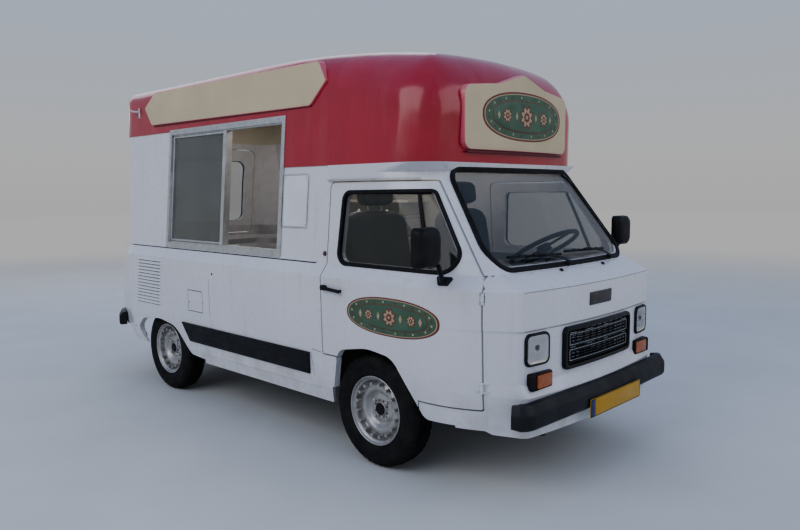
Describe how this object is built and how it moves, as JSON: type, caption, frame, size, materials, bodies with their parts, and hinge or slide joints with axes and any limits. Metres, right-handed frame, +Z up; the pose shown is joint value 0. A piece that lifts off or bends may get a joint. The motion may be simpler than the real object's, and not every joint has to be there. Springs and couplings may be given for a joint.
{
  "type": "ice cream truck",
  "caption": "Small forward-control van with a rear engine, a raised moulded roof with blank sign boards and a sliding serving hatch in its right side.",
  "frame": {"origin": "middle of the whole vehicle on the ground", "axes": "+X forward, +Y to the vehicle's left, +Z up"},
  "size_m": [3.73, 1.806, 2.0406],
  "materials": {
    "body_paint": "gloss, a little dull",
    "roof_gloss": "high gloss",
    "sign_cream": "satin",
    "window_glass": "clear",
    "frame_metal": "brushed, weathered",
    "black_plastic": "grained",
    "bumper_black": "black with a bright upper edge",
    "lamp_glass": "ribbed",
    "lamp_red": "moulded lens",
    "plate_yellow": "reflective sheet, blank",
    "wiper_black": "satin",
    "floor_paint": "matt",
    "seat_vinyl": "grained vinyl",
    "seat_frame_paint": "matt",
    "laminate": "smooth laminate",
    "chassis_black": "matt underbody paint",
    "knuckle_iron": "cast",
    "engine_metal": "cast",
    "tyre_rubber": "moulded",
    "wheel_silver": "silver paint"
  },
  "bodies": {
    "body": {"body_side_left": "body_paint", "body_side_right": "body_paint", "cab_frame": "body_paint", "cab_seats": "seat_vinyl", "dashboard": "black_plastic", "engine_block": "engine_metal", "floor_pan": "floor_paint", "freezer_cabinet": "laminate", "front_axle": "chassis_black", "front_bumper": "black_plastic", "front_lamps": "lamp_glass", "front_panel": "body_paint", "grille": "black_plastic", "hatch_frame": "frame_metal", "hatch_glass": "window_glass", "high_roof": "roof_gloss", "number_plates": "plate_yellow", "rear_axle": "chassis_black", "rear_bumper": "bumper_black", "rear_panel": "body_paint", "roof_signs": "sign_cream", "seat_frames": "seat_frame_paint", "serving_counter": "laminate", "side_mouldings": "black_plastic", "steering_column": "chassis_black", "tail_lights": "lamp_red", "tow_eyes": "chassis_black", "upper_side_left": "body_paint", "upper_side_right": "body_paint", "windscreen": "window_glass", "wipers": "wiper_black"},
    "door_right": {"door_right": "body_paint", "door_glass_right": "window_glass", "mirror_right": "black_plastic"},
    "door_left": {"door_left": "body_paint", "door_glass_left": "window_glass", "mirror_left": "black_plastic"},
    "tailgate": {"tailgate": "body_paint", "tailgate_glass": "window_glass"},
    "engine_lid": {"engine_lid": "body_paint"},
    "fuel_flap": {"fuel_flap": "body_paint"},
    "knuckle_right": {"knuckle_right": "knuckle_iron"},
    "knuckle_left": {"knuckle_left": "knuckle_iron"},
    "steering_wheel": {"steering_wheel": "black_plastic"},
    "wheel_front_right": {"tyre_front_right": "tyre_rubber", "rim_front_right": "wheel_silver"},
    "wheel_front_left": {"tyre_front_left": "tyre_rubber", "rim_front_left": "wheel_silver"},
    "wheel_rear_right": {"tyre_rear_right": "tyre_rubber", "rim_rear_right": "wheel_silver"},
    "wheel_rear_left": {"tyre_rear_left": "tyre_rubber", "rim_rear_left": "wheel_silver"}
  },
  "joints": [
    {"name": "door_right_hinge", "type": "hinge", "parent": "body", "child": "door_right", "pos_m": [1.6175, -0.6605, 0.681], "axis": [0, 0, 1], "range_deg": [0, 68]},
    {"name": "door_left_hinge", "type": "hinge", "parent": "body", "child": "door_left", "pos_m": [1.6175, 0.6605, 0.681], "axis": [0, 0, -1], "range_deg": [0, 68]},
    {"name": "tailgate_hinge", "type": "hinge", "parent": "body", "child": "tailgate", "pos_m": [-1.6565, 0, 1.6575], "axis": [0, 1, 0], "range_deg": [0, 80]},
    {"name": "engine_lid_hinge", "type": "hinge", "parent": "body", "child": "engine_lid", "pos_m": [-1.797, 0, 0.8705], "axis": [0, 1, 0], "range_deg": [0, 75]},
    {"name": "fuel_flap_hinge", "type": "hinge", "parent": "body", "child": "fuel_flap", "pos_m": [-0.4445, -0.7445, 0.6485], "axis": [0, 0, 1], "range_deg": [0, 100]},
    {"name": "steer_right", "type": "hinge", "parent": "body", "child": "knuckle_right", "pos_m": [1.005, -0.572, 0.274], "axis": [0, 0, 1], "range_deg": [-30, 30]},
    {"name": "steer_left", "type": "hinge", "parent": "body", "child": "knuckle_left", "pos_m": [1.005, 0.572, 0.274], "axis": [0, 0, 1], "range_deg": [-30, 30]},
    {"name": "steering_wheel_turn", "type": "hinge", "parent": "body", "child": "steering_wheel", "pos_m": [1.27, 0.34, 1], "axis": [-0.5, 0, 0.866], "range_deg": [-480, 480]},
    {"name": "spin_front_right", "type": "hinge", "parent": "knuckle_right", "child": "wheel_front_right", "pos_m": [1.005, -0.632, 0.274], "axis": [0, 1, 0], "continuous": true},
    {"name": "spin_front_left", "type": "hinge", "parent": "knuckle_left", "child": "wheel_front_left", "pos_m": [1.005, 0.632, 0.274], "axis": [0, 1, 0], "continuous": true},
    {"name": "spin_rear_right", "type": "hinge", "parent": "body", "child": "wheel_rear_right", "pos_m": [-0.995, -0.622, 0.274], "axis": [0, 1, 0], "continuous": true},
    {"name": "spin_rear_left", "type": "hinge", "parent": "body", "child": "wheel_rear_left", "pos_m": [-0.995, 0.622, 0.274], "axis": [0, 1, 0], "continuous": true}
  ],
  "couplings": [
    {"joint": "steer_left", "follows": "steer_right", "ratio": 1},
    {"joint": "steering_wheel_turn", "follows": "steer_right", "ratio": 16}
  ]
}
